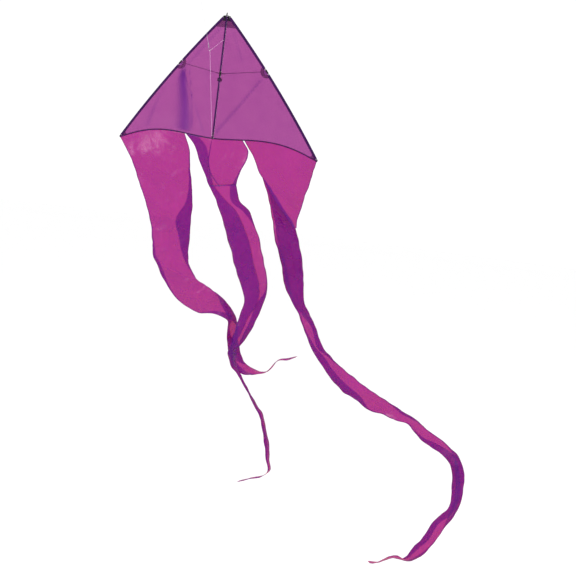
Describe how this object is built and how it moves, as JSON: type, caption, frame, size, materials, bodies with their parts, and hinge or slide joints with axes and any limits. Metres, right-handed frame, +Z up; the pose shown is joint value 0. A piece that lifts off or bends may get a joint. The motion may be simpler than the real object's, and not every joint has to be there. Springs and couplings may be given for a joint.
{
  "type": "kite",
  "caption": "Single-line delta kite with folding wings, flowing fabric tails, a two-leg bridle and a snap swivel on its line.",
  "frame": {"origin": "the tow point, at the middle of the bridle loop that the snap hooks into", "axes": "+Z up along the spine to the nose, +X to the right wing seen from the bridle side, +Y to the back of the sail"},
  "size_m": [2.6422, 0.6919, 3.5345],
  "materials": {
    "glass_fibre": "satin pultruded rod",
    "moulded_fitting": "moulded, slightly rubbery",
    "metal_sleeve": "dark anodised tube",
    "dark_ripstop": "stitched coated cloth",
    "webbing": "narrow woven webbing",
    "sail_ripstop": "translucent coated ripstop",
    "tail_nylon": "light glossy nylon",
    "bridle_cord": "braided cord",
    "steel_wire": "bent wire and turned barrel",
    "line_cord": "braided line"
  },
  "bodies": {
    "spine": {"spine_rod": "glass_fibre", "spine_nose_cap": "moulded_fitting", "spine_tail_cap": "moulded_fitting", "spine_sleeve": "dark_ripstop", "spine_tail_pocket": "webbing", "upper_bridle_tab": "webbing", "lower_bridle_tab": "webbing", "keeper_strap": "webbing", "centre_fitting": "moulded_fitting", "left_spreader_rod": "glass_fibre", "right_spreader_rod": "glass_fibre", "left_spreader_cap": "moulded_fitting", "right_spreader_cap": "moulded_fitting", "centre_tail_left_yoke": "tail_nylon", "centre_tail_right_yoke": "tail_nylon"},
    "left_wing": {"left_sail_panel": "sail_ripstop", "left_nose_patch": "dark_ripstop", "left_upper_edge_rod": "glass_fibre", "left_lower_edge_rod": "glass_fibre", "left_edge_ferrule": "metal_sleeve", "left_edge_caps": "moulded_fitting", "left_edge_sleeve": "dark_ripstop", "left_wing_clip": "moulded_fitting", "left_clip_patch": "dark_ripstop", "left_tip_patch": "dark_ripstop", "left_edge_binding": "dark_ripstop"},
    "right_wing": {"right_sail_panel": "sail_ripstop", "right_nose_patch": "dark_ripstop", "right_upper_edge_rod": "glass_fibre", "right_lower_edge_rod": "glass_fibre", "right_edge_ferrule": "metal_sleeve", "right_edge_caps": "moulded_fitting", "right_edge_sleeve": "dark_ripstop", "right_wing_clip": "moulded_fitting", "right_clip_patch": "dark_ripstop", "right_tip_patch": "dark_ripstop", "right_edge_binding": "dark_ripstop"},
    "left_streamer": {"left_tail": "tail_nylon"},
    "right_streamer": {"right_tail_front": "tail_nylon", "right_tail": "tail_nylon"},
    "centre_streamer": {"centre_tail": "tail_nylon"},
    "bridle": {"upper_bridle_leg": "bridle_cord", "lower_bridle_leg": "bridle_cord", "bridle_knots": "bridle_cord", "tow_loop": "bridle_cord"},
    "snap": {"snap_hook": "steel_wire", "swivel_barrel": "steel_wire"},
    "gate": {"snap_gate": "steel_wire"},
    "line_swivel": {"swivel_eye": "steel_wire", "line_knot": "line_cord", "flying_line": "line_cord", "line_end_loop": "line_cord"}
  },
  "joints": [
    {"name": "left_wing_fold", "type": "hinge", "parent": "spine", "child": "left_wing", "pos_m": [0, 0.233, 0], "axis": [0, 0, 1], "range_deg": [0, 60]},
    {"name": "right_wing_fold", "type": "hinge", "parent": "spine", "child": "right_wing", "pos_m": [0, 0.233, 0], "axis": [0, 0, -1], "range_deg": [0, 60]},
    {"name": "left_tail_swing", "type": "hinge", "parent": "left_wing", "child": "left_streamer", "pos_m": [-0.21093, 0.26264, -0.54645], "axis": [0.9779, -0.1374, 0.1576], "range_deg": [-1, 25]},
    {"name": "right_tail_swing", "type": "hinge", "parent": "right_wing", "child": "right_streamer", "pos_m": [0.21093, 0.26264, -0.54645], "axis": [0.9779, 0.1374, -0.1576], "range_deg": [-3, 25]},
    {"name": "centre_tail_swing", "type": "hinge", "parent": "spine", "child": "centre_streamer", "pos_m": [0.021, 0.221, -0.867], "axis": [0.9868, 0, 0.1618], "range_deg": [-20, 1]},
    {"name": "bridle_yaw", "type": "hinge", "parent": "spine", "child": "bridle", "pos_m": [0, 0.224, -0.2], "axis": [0, 0, 1], "range_deg": [-15, 15]},
    {"name": "snap_pitch", "type": "hinge", "parent": "bridle", "child": "snap", "pos_m": [0, 0, 0], "axis": [1, 0, 0], "range_deg": [-25, 60]},
    {"name": "gate_open", "type": "hinge", "parent": "snap", "child": "gate", "pos_m": [0.007, -0.01093, 0.01302], "axis": [0, 0.766, 0.6428], "range_deg": [0, 12], "stiffness_Nm_per_rad": 0.002, "springref_deg": -11.46},
    {"name": "line_spin", "type": "hinge", "parent": "snap", "child": "line_swivel", "pos_m": [0, 0, 0], "axis": [0, -0.6428, 0.766], "continuous": true}
  ]
}
